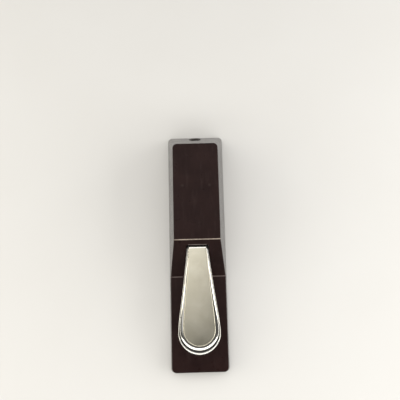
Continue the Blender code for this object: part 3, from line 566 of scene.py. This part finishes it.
def rounded_rectangle(half_x, y_front, y_rear, radius, z, segments):
    points = []
    x, rear, front = half_x - radius, y_rear - radius, y_front + radius
    for cx, cy, start in ((x, rear, 0), (-x, rear, 90), (-x, front, 180), (x, front, 270)):
        for i in range(segments + 1):
            angle = math.radians(start + 90 * i / segments)
            points.append((cx + radius * math.cos(angle), cy + radius * math.sin(angle), z))
    return points


def loft(loops):
    """Closed solid through loops that have the same number of points, with flat ends."""
    bm = bmesh.new()
    rings = [[bm.verts.new(p) for p in loop] for loop in loops]
    count = len(rings[0])
    for lower, upper in zip(rings, rings[1:]):
        for i in range(count):
            j = (i + 1) % count
            bm.faces.new((lower[i], lower[j], upper[j], upper[i]))
    bm.faces.new(rings[0])
    bm.faces.new(rings[-1])
    return to_object(bm)


def extrude_side_profile(points, half_width):
    return loft([[(x, y, z) for y, z in points] for x in (-half_width, half_width)])


def fillet(before, corner, after, radius):
    """Points of the arc that rounds a corner between its two neighbours."""
    to_before = (Vector(before) - Vector(corner)).normalized()
    to_after = (Vector(after) - Vector(corner)).normalized()
    half_angle = to_before.angle(to_after) / 2
    reach = radius / math.tan(half_angle)
    centre = Vector(corner) + (to_before + to_after).normalized() * radius / math.sin(half_angle)
    first = Vector(corner) + to_before * reach - centre
    last = Vector(corner) + to_after * reach - centre
    return [tuple(centre + first.lerp(last, i / FILLET_STEPS).normalized() * radius)
            for i in range(FILLET_STEPS + 1)]


# ---- housing ------------------------------------------------------------------------------
def slope_angle():
    return math.atan2(DECK_Z - TRAY_Z, DECK_FRONT_Y - SLOPE_FOOT_Y)


def drafted_block(inset, z_low, z_high):
    loops = []
    for z in (z_low, z_high):
        rise = z - RIM_Z
        side = rise * math.tan(SIDE_DRAFT) + inset / math.cos(SIDE_DRAFT)
        rear = rise * math.tan(REAR_DRAFT) + inset / math.cos(REAR_DRAFT)
        radius = max(CORNER_RADIUS - inset, LEAST_CORNER_RADIUS)
        loops.append(rounded_rectangle(BASE_WIDTH / 2 - side, -BASE_LENGTH / 2 + side,
                                       BASE_LENGTH / 2 - rear, radius, z, CORNER_STEPS))
    return loft(loops)


def top_outline(inset, z_low, rounding):
    shift = inset * math.tan(slope_angle() / 2)
    front = (-BASE_LENGTH, TRAY_Z - inset)
    foot = (SLOPE_FOOT_Y + shift, TRAY_Z - inset)
    crest = (DECK_FRONT_Y + shift, DECK_Z - inset)
    rear = (BASE_LENGTH, DECK_Z - inset)
    outline = [(-BASE_LENGTH, z_low), front]
    outline += fillet(front, foot, crest, rounding)
    outline += fillet(foot, crest, rear, rounding)
    outline += [rear, (BASE_LENGTH, z_low)]
    return outline


def housing_block(inset, z_low, rounding):
    """Drafted block from z_low up to the stepped top, its sides and top moved in by the inset."""
    block = drafted_block(inset, z_low, DECK_Z + BLANK_OVERRUN)
    profile = top_outline(inset, z_low - BLANK_OVERRUN / 2, rounding)
    return combine(block, extrude_side_profile(profile, BLANK_HALF_WIDTH), "INTERSECT")


def housing_bosses():
    """Ribs and screw bosses inside the housing, trimmed to end within its walls."""
    ribs = [box(*CROSS_RIB, FLOOR_Z, TRAY_Z - ROOF_SKIN)]
    ribs += [box(x - LONG_RIB_HALF, x + LONG_RIB_HALF, *LONG_RIB_Y, FLOOR_Z, TRAY_Z - ROOF_SKIN)
             for x in (-LONG_RIB_X, LONG_RIB_X)]
    ribs += [box(x - CREST_RIB_HALF, x + CREST_RIB_HALF, *CREST_RIB_Y, CREST_RIB_Z, DECK_Z - ROOF_SKIN)
             for x in (-CREST_RIB_X, CREST_RIB_X)]
    body = join(*ribs)
    for x, y in BASE_SCREW_PLACES:
        roof = TRAY_Z if y < SLOPE_FOOT_Y else DECK_Z
        join(body, rod(BOSS_RADIUS, FLOOR_Z, roof - ROOF_SKIN, 32, place=(x, y, 0)))
    return combine(body, housing_block(WALL * BOSS_REACH, RIM_Z, INNER_ROUNDING), "INTERSECT")


def inlet_matrix():
    y = BASE_LENGTH / 2 - (INLET_Z - RIM_Z) * math.tan(REAR_DRAFT)
    return Matrix.Translation((0, y, INLET_Z)) @ Matrix.Rotation(REAR_DRAFT - math.pi / 2, 4, "X")


def pedal_slot():
    right = [(SLOT_HALF_WIDTH, 0.010), (SLOT_HALF_WIDTH, PEDAL_ROOT_Y),
             (SLOT_HALF_WIDTH + SLOT_FLARE, SLOT_FRONT_Y)]
    outline = right + [(-x, y) for x, y in reversed(right)]
    return loft([[(x, y, z) for x, y in outline] for z in (SLOT_BOTTOM_Z, SLOT_TOP_Z)])


def housing():
    body = housing_block(0.0, RIM_Z, OUTER_ROUNDING)
    bevel = body.modifiers.new("edges", "BEVEL")
    bevel.width = EDGE_BEVEL
    bevel.segments = EDGE_SEGMENTS
    bevel.limit_method = "ANGLE"
    bevel.angle_limit = EDGE_ANGLE
    bake(body)
    cut(body, housing_block(WALL, -BLANK_OVERRUN, INNER_ROUNDING))
    join(body, housing_bosses())
    cut(body, pedal_slot())
    for x, y in BASE_SCREW_PLACES:
        cut(body, rod(BASE_SCREW_HOLE_RADIUS, 0.0, BASE_SCREW_HOLE_TOP, 24, place=(x, y, 0)))
    inlet = rod(GROMMET_RADIUS + GAP, -INLET_CUT, INLET_CUT, 48)
    inlet.data.transform(inlet_matrix())
    cut(body, inlet)
    for vertex in body.data.vertices:
        vertex.co.y = min(vertex.co.y, cad_high.y)
    dress(body, "housing_shell", "base", ["upper_housing"], "black_moulding", 30.0)
    body.data.materials.append(MATERIALS["gloss_moulding"])
    for face in body.data.polygons:
        face.material_index = int(abs(face.normal.z) < WALL_NORMAL_Z)
    normals = body.modifiers.new("even_normals", "WEIGHTED_NORMAL")
    normals.keep_sharp = True


# ---- floor --------------------------------------------------------------------------------
def tread_profile():
    """Cross-section of the mat: shallow grooves that run along the base on its underside."""
    half = PLATE_HALF_WIDTH + TREAD_OVERRUN
    bottom = [(-half, 0.0)]
    count = int((PLATE_HALF_WIDTH - TREAD_MARGIN) / TREAD_PITCH)
    for i in range(-count, count + 1):
        x = i * TREAD_PITCH
        bottom += [(x - TREAD_GROOVE / 2, 0.0), (x - TREAD_GROOVE / 4, TREAD_DEPTH),
                   (x + TREAD_GROOVE / 4, TREAD_DEPTH), (x + TREAD_GROOVE / 2, 0.0)]
    bottom.append((half, 0.0))
    return bottom + [(half, MAT_THICKNESS), (-half, MAT_THICKNESS)]


def tread_mat():
    sheet = loft([rounded_rectangle(PLATE_HALF_WIDTH, PLATE_FRONT_Y, PLATE_REAR_Y, PLATE_CORNER, z, 8)
                  for z in (-0.001, MAT_THICKNESS)])
    ends = (PLATE_FRONT_Y - 0.01, PLATE_REAR_Y + 0.01)
    ribs = loft([[(x, y, z) for x, z in tread_profile()] for y in ends])
    combine(sheet, ribs, "INTERSECT")
    for places, radius in ((BASE_SCREW_PLACES, BASE_SCREW_CLEARANCE),
                           (OTHER_SCREW_PLACES, OTHER_SCREW_CLEARANCE)):
        for x, y in places:
            cut(sheet, rod(radius, -MAT_CUT, MAT_CUT, 32, place=(x, y, 0)))
    window = [rounded_rectangle(WINDOW_HALF_WIDTH, POLARITY_Y - WINDOW_HALF_LENGTH,
                                POLARITY_Y + WINDOW_HALF_LENGTH, WINDOW_CORNER, z, 8)
              for z in (-MAT_CUT, MAT_CUT)]
    cut(sheet, loft(window))
    dress(sheet, "tread_mat", "base", ["anti_slip_mat"], "black_rubber", 30.0)


def recess(depth, reach, width):
    """Cross-shaped cutter that points down from z = 0."""
    arms = [box(-reach, reach, -width / 2, width / 2, -depth, depth),
            box(-width / 2, width / 2, -reach, reach, -depth, depth)]
    return join(arms[0], arms[1])


def cross_screw(size, head_seat_z, shank_end_z):
    """Pan-head screw with a domed head and a cross recess; its head is away from its end."""
    head_radius, head_height, shank_radius = size
    away = math.copysign(1.0, head_seat_z - shank_end_z)
    dome = []
    for i in range(7):
        angle = math.pi / 2 * i / 6
        dome.append((head_radius * (0.55 + 0.45 * math.cos(angle)) if i < 6 else 0.55 * head_radius,
                     head_seat_z + away * head_height * (0.45 + 0.55 * math.sin(angle))))
    outline = [(shank_radius * 0.6, shank_end_z), (shank_radius, shank_end_z + away * SCREW_CHAMFER),
               (shank_radius, head_seat_z), (head_radius, head_seat_z)] + dome
    bm = bmesh.new()
    rings = []
    for radius, z in outline:
        rings.append([bm.verts.new((radius * math.cos(math.tau * i / SCREW_SEGMENTS),
                                    radius * math.sin(math.tau * i / SCREW_SEGMENTS), z))
                      for i in range(SCREW_SEGMENTS)])
    for lower, upper in zip(rings, rings[1:]):
        for i in range(SCREW_SEGMENTS):
            j = (i + 1) % SCREW_SEGMENTS
            bm.faces.new((lower[i], lower[j], upper[j], upper[i]))
    bm.faces.new(rings[0])
    bm.faces.new(rings[-1])
    screw = to_object(bm)
    cross = recess(head_height * 0.62, head_radius * 0.52, head_radius * 0.20)
    cross.data.transform(Matrix.Translation((0, 0, head_seat_z + away * head_height)))
    return cut(screw, cross)


def base_screws():
    for i, (x, y) in enumerate(BASE_SCREW_PLACES, 1):
        screw = cross_screw(BASE_SCREW, PLATE_BOTTOM_Z - GAP, BASE_SCREW_END_Z)
        turn = Matrix.Rotation(BASE_SCREW_TURN * i, 4, "Z")
        screw.data.transform(Matrix.Translation((x, y, 0)) @ turn)
        dress(screw, f"base_cross_screw_{i}", "base", [f"base_screw_{i}"], "screw_zinc", 30.0)


# ---- pedal --------------------------------------------------------------------------------
def pedal_outline(shape, shrink):
    """Teardrop outline as (x, distance from the root) points, going round once."""
    root, radius, tip = (shape[key] - shrink for key in ("root", "round", "tip"))
    centre = tip - radius
    start = shape["start"] + shrink
    right = []
    for i in range(FLANK_STEPS):
        t = i / FLANK_STEPS
        width = root + (radius - root) * (t + (1 - t) * t ** FLANK_SWELL)
        right.append((width, start + (centre - start) * t))
    angles = [math.pi * i / TOE_STEPS for i in range(TOE_STEPS + 1)]
    toe = [(radius * math.cos(a), centre + radius * math.sin(a)) for a in angles]
    left = [(-x, v) for x, v in reversed(right)]
    return right + toe + left


def pedal_frame():
    turn = Matrix.Rotation(math.pi, 4, "Z")
    tilt = Matrix.Rotation(PEDAL_TILT, 4, "X")
    return Matrix.Translation((0, PEDAL_ROOT_Y, PEDAL_ROOT_Z)) @ tilt @ turn


def between(first, second, share):
    """Outline between two pedal outlines, as a mix of their sizes."""
    return {key: first[key] + (second[key] - first[key]) * share for key in first}


def pedal_solid(levels):
    loops = [[(x, v, height) for x, v in pedal_outline(shape, shrink)]
             for shape, shrink, height in levels]
    solid = loft(loops)
    solid.data.transform(pedal_frame())
    return solid


def face_screw_places():
    return [pedal_frame() @ Vector((0, v, 0)) for v in FACE_SCREW_DISTANCES]


def tilted(obj, place):
    obj.data.transform(Matrix.Translation(place) @ Matrix.Rotation(PEDAL_TILT, 4, "X"))
    return obj


def arc(shape_out, shape_in, shrink_out, shrink_in, z_low, z_high, steps):
    """Levels of a rounded edge, from upright at z_low to flat at z_high."""
    levels = []
    for i in range(steps + 1):
        angle = math.pi / 2 * i / steps
        share = 1 - math.cos(angle)
        levels.append((between(shape_out, shape_in, share),
                       shrink_out + (shrink_in - shrink_out) * share,
                       z_low + (z_high - z_low) * math.sin(angle)))
    return levels


def face_is_level(face):
    return face.normal.z > LEVEL_NORMAL_Z


def plate_crown():
    """Levels of the polished border: a rounded edge, a bevel, then a nearly level margin."""
    levels = []
    for i in range(CROWN_EDGE_STEPS + 1):
        tilt = math.radians(90 - (90 - CROWN_TILTS[0][1]) * i / CROWN_EDGE_STEPS)
        levels.append((PLATE, CROWN_EDGE * (1 - math.sin(tilt)),
                       CROWN_EDGE_Z + CROWN_EDGE * math.cos(tilt)))
    outer_shrink, height = levels[-1][1:]
    for i in range(1, CROWN_STEPS + 1):
        share = i / CROWN_STEPS
        tilt = math.radians(tilt_at(share - 0.5 / CROWN_STEPS))
        height += CROWN_WIDTH / CROWN_STEPS * math.tan(tilt)
        levels.append((between(PLATE, PAD, share), outer_shrink * (1 - share) - CREVICE * share,
                       height))
    return levels


def tilt_at(share):
    """Tilt of the polished border in degrees, at a share of its width from the outside."""
    for (start, first), (end, last) in zip(CROWN_TILTS, CROWN_TILTS[1:]):
        if share <= end:
            return first + (last - first) * (share - start) / (end - start)
    return CROWN_TILTS[-1][1]


def face_plate():
    levels = [(PLATE, 0.0003, -FACE_PLATE_DEPTH)] + plate_crown()
    brink = levels[-1][2]
    crevice_z = brink - CREVICE_DEPTH
    levels += [(PAD, -0.7 * CREVICE, crevice_z), (PAD, -0.3 * CREVICE, crevice_z)]
    levels += arc(PAD, PAD, 0.0, PAD_EDGE_WIDTH, PAD_EDGE_Z, 0.0, PAD_EDGE_STEPS)
    body = pedal_solid(levels)
    for place in face_screw_places():
        hole = rod(FACE_SCREW_HOLE_RADIUS, -FACE_PLATE_DEPTH - 0.001, FACE_SCREW_HOLE_TOP, 24)
        cut(body, tilted(hole, place))
    dress(body, "face_plate", "pedal", ["pedal_face_plate"], "satin_nickel", 32.0)
    body.data.materials.append(MATERIALS["polished_nickel"])
    body.data.materials.append(MATERIALS["painted_shade_black"])
    to_pad = pedal_frame().inverted()
    for face in body.data.polygons:
        height = (to_pad @ face.center).z
        # the crevice floor round the pad takes the black that paints shade there
        if abs(height - brink + CREVICE_DEPTH) < LEVEL_TOLERANCE and face_is_level(face):
            face.material_index = 2
        elif height < brink:
            face.material_index = 1


def lever():
    top = -FACE_PLATE_DEPTH - GAP
    levels = [(LIP, 0.0012, -LEVER_DEPTH), (LIP, 0.0005, -LEVER_DEPTH + 0.0004),
              (LIP, 0.0002, -LEVER_DEPTH + 0.0012)]
    levels += arc(LIP, between(LIP, PLATE, LIP_CREST_SHARE), 0.0, 0.0001, top - 0.0016, top, 10)
    levels += [(between(LIP, PLATE, GROOVE_EDGE_SHARE), 0.0001, top - 0.0001),
               (between(LIP, PLATE, GROOVE_FLOOR_SHARE), 0.0001, top - GROOVE_DEPTH),
               (PLATE, 0.0014, top - GROOVE_DEPTH), (PLATE, 0.0016, top)]
    body = pedal_solid(levels)
    side = [(-0.012, ARM_BOTTOM_Z + 0.0014), (0.004, ARM_BOTTOM_Z), (TAIL_END_Y, ARM_BOTTOM_Z),
            (TAIL_END_Y, TAIL_TOP_Z), (PIVOT_Y, ARM_TOP_Z), (-0.012, ARM_TOP_Z - 0.0010)]
    arm = extrude_side_profile(side, ARM_HALF_WIDTH)
    hub = rod(HUB_RADIUS, -HUB_HALF_WIDTH, HUB_HALF_WIDTH, 56, "X", (0, PIVOT_Y, PIVOT_Z))
    peg = rod(SPRING_PEG_RADIUS, ARM_BOTTOM_Z - 0.0030, ARM_BOTTOM_Z + 0.001, 32,
              place=(0, SPRING_Y, 0))
    join(body, arm, hub, peg)
    cut(body, rod(BUSH_RADIUS + 0.0002, -0.02, 0.02, 48, "X", (0, PIVOT_Y, PIVOT_Z)))
    for place in face_screw_places():
        hole = rod(FACE_SCREW_CLEARANCE, -0.012, 0.0, 24)
        counterbore = rod(COUNTERBORE_RADIUS, -0.012, -LEVER_DEPTH + LEVER_COUNTERBORE, 32)
        cut(body, tilted(hole, place), tilted(counterbore, place))
    dress(body, "lever_casting", "pedal", ["pedal_lever"], "polished_nickel", 32.0)
    body.data.materials.append(MATERIALS["painted_shade_black"])
    to_pad = pedal_frame().inverted()
    for face in body.data.polygons:
        place = to_pad @ face.center
        in_groove = place.z < top - 0.0003 and face_is_level(face) and place.z > -LEVER_DEPTH / 2
        # the lever behind the root, inside the slot, and its groove floor take the black that paints
        # shade there
        if place.y < 0.0004 or in_groove:
            face.material_index = 1


def face_plate_screws():
    seat = -LEVER_DEPTH + LEVER_COUNTERBORE - GAP
    for i, place in enumerate(face_screw_places(), 1):
        screw = tilted(cross_screw(FACE_PLATE_SCREW, seat, FACE_PLATE_SCREW_END), place)
        dress(screw, f"face_plate_cross_screw_{i}", "pedal", [f"face_plate_screw_{i}"], "screw_zinc",
              30.0)


# ---- spring and inlet ------------------------------------------------------------------------
def coil_spring():
    bottom = SPRING_BOTTOM_Z + SPRING_WIRE
    top = ARM_BOTTOM_Z - GAP - SPRING_WIRE
    sides = SPRING_WIRE_SIDES
    steps = SPRING_TURNS * SPRING_STEPS_PER_TURN
    bm = bmesh.new()
    loops = []
    for i in range(steps + 1):
        angle = math.tau * i / SPRING_STEPS_PER_TURN
        t = i / steps
        ease = t - SPRING_END_EASE * math.sin(math.tau * t)
        centre = Vector((SPRING_RADIUS * math.cos(angle), SPRING_RADIUS * math.sin(angle),
                         bottom + (top - bottom) * ease))
        out = Vector((math.cos(angle), math.sin(angle), 0))
        up = Vector((0, 0, 1))
        loops.append([bm.verts.new(centre + SPRING_WIRE * (out * math.cos(math.tau * k / sides)
                                                           + up * math.sin(math.tau * k / sides)))
                      for k in range(sides)])
    for first, second in zip(loops, loops[1:]):
        for k in range(sides):
            j = (k + 1) % sides
            bm.faces.new((first[k], first[j], second[j], second[k]))
    bm.faces.new(loops[0])
    bm.faces.new(loops[-1])
    bmesh.ops.translate(bm, verts=bm.verts, vec=(0, SPRING_Y, 0))
    spring = dress(to_object(bm), "coil_spring", "base", ["return_spring"], "spring_steel", 50.0)
    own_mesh(spring)


def grommet():
    bore, neck, flange = INLET_BORE_RADIUS, GROMMET_RADIUS, GROMMET_RADIUS + GROMMET_FLANGE
    profile = [(bore, 0.0004), (bore + 0.0002, 0.0007), (bore + 0.0005, 0.0008)]
    profile += [(flange - 0.0004 + 0.0004 * math.sin(a), 0.0004 + 0.0004 * math.cos(a))
                for a in (math.pi / 2 * i / 6 for i in range(7))]
    profile += [(flange, GAP), (neck, GAP), (neck, -WALL - GAP), (flange - 0.0006, -WALL - GAP),
                (flange - 0.0008, -WALL - 0.0014), (bore + 0.0003, -WALL - 0.0014),
                (bore, -WALL - 0.0011)]
    ring = turned(profile, GROMMET_SEGMENTS)
    ring.data.transform(inlet_matrix())
    dress(ring, "inlet_grommet", "base", ["cable_grommet"], "black_moulding", 40.0)


# ---- the object ------------------------------------------------------------------------------
housing()
tread_mat()
base_screws()
face_plate()
lever()
face_plate_screws()
coil_spring()
grommet()

# rounding of each CAD node that is shown as it is and has hard edges
ROUNDED = {"bearing_bracket": 0.0003, "micro_switch": 0.00015, "switch_bracket": 0.0002,
           "polarity_switch": 0.0002, "polarity_slider": 0.00012, "cord_clamp": 0.0003,
           "up_stop_bumper": 0.0004, "down_stop_bumper": 0.0004, "base_plate": 0.0002,
           "pivot_axle": 0.0003, "spring_seat": 0.0002}
for node_name, node in NODES.items():
    if node.hide_render:
        continue
    node.material_slots[0].material = MATERIALS[slot_of(node)]
    if node_name in ROUNDED:
        soften(node, ROUNDED[node_name])


# ---- camera, light and floor -------------------------------------------------------------------
def camera():
    data = bpy.data.cameras.new("camera")
    data.lens = CAMERA_LENS
    data.sensor_width = CAMERA_SENSOR
    data.clip_start = CAMERA_CLIP
    cam = bpy.data.objects.new("camera", data)
    bpy.context.scene.collection.objects.link(cam)
    back = Vector((math.sin(CAMERA_AZIMUTH) * math.cos(CAMERA_ELEVATION),
                   -math.cos(CAMERA_AZIMUTH) * math.cos(CAMERA_ELEVATION),
                   math.sin(CAMERA_ELEVATION)))
    turn = (-back).to_track_quat("-Z", "Y").to_matrix().to_4x4() @ Matrix.Rotation(CAMERA_ROLL, 4, "Z")
    cam.matrix_world = Matrix.Translation(CAMERA_TARGET + back * CAMERA_DISTANCE) @ turn
    bpy.context.scene.camera = cam


def softbox(name, place, target, size, power, color):
    data = bpy.data.lights.new(name, "AREA")
    data.shape = "RECTANGLE"
    data.size, data.size_y = size
    data.energy = power
    data.color = color
    obj = bpy.data.objects.new(name, data)
    obj.location = place
    obj.rotation_euler = (Vector(target) - Vector(place)).to_track_quat("-Z", "Y").to_euler()
    bpy.context.scene.collection.objects.link(obj)


def studio():
    """Soft boxes to the front and sides, and a sky that is brightest behind and even low down."""
    for values in SOFTBOXES:
        softbox(*values)
    bpy.context.scene.view_settings.view_transform = "Standard"
    world = bpy.data.worlds.new("studio")
    bpy.context.scene.world = world
    world.use_nodes = True
    tree = world.node_tree
    direction = tree.nodes.new("ShaderNodeTexCoord")
    split = tree.nodes.new("ShaderNodeSeparateXYZ")
    tree.links.new(direction.outputs["Generated"], split.inputs["Vector"])
    sky = tree.nodes.new("ShaderNodeMapRange")
    sky.interpolation_type = "SMOOTHERSTEP"
    for key, value in SKY_RAMP.items():
        sky.inputs[key].default_value = value
    lean, height = (tree.nodes.new("ShaderNodeMath") for _ in range(2))
    for node in (lean, height):
        node.operation = "MULTIPLY_ADD"
        tree.links.new(split.outputs["X"], node.inputs[0])
    lean.inputs[1].default_value = SKY_CURVE
    lean.inputs[2].default_value = SKY_LEAN
    tree.links.new(lean.outputs["Value"], height.inputs[1])
    tree.links.new(split.outputs["Y"], height.inputs[2])
    tree.links.new(height.outputs["Value"], sky.inputs["Value"])
    background = tree.nodes["Background"]
    background.inputs["Color"].default_value = SKY_COLOR
    haze = tree.nodes.new("ShaderNodeMapRange")
    for key, value in HAZE_RAMP.items():
        haze.inputs[key].default_value = value
    tree.links.new(split.outputs["Z"], haze.inputs["Value"])
    mix = tree.nodes.new("ShaderNodeMix")
    mix.inputs["B"].default_value = HORIZON_GLOW
    tree.links.new(haze.outputs["Result"], mix.inputs["Factor"])
    tree.links.new(sky.outputs["Result"], mix.inputs["A"])
    tree.links.new(mix.outputs["Result"], background.inputs["Strength"])


def floor():
    bpy.ops.mesh.primitive_plane_add(size=STUDIO_FLOOR_SIZE)
    plane = bpy.context.object
    plane.name = "studio_floor"
    p = Paint("studio_floor", (0.66, 0.65, 0.63), 0.6)
    p.color(p.blend(p.noise(9.0, 4.0), (0.645, 0.635, 0.615), (0.675, 0.67, 0.655)))
    plane.data.materials.append(p.mat)


camera()
studio()
floor()
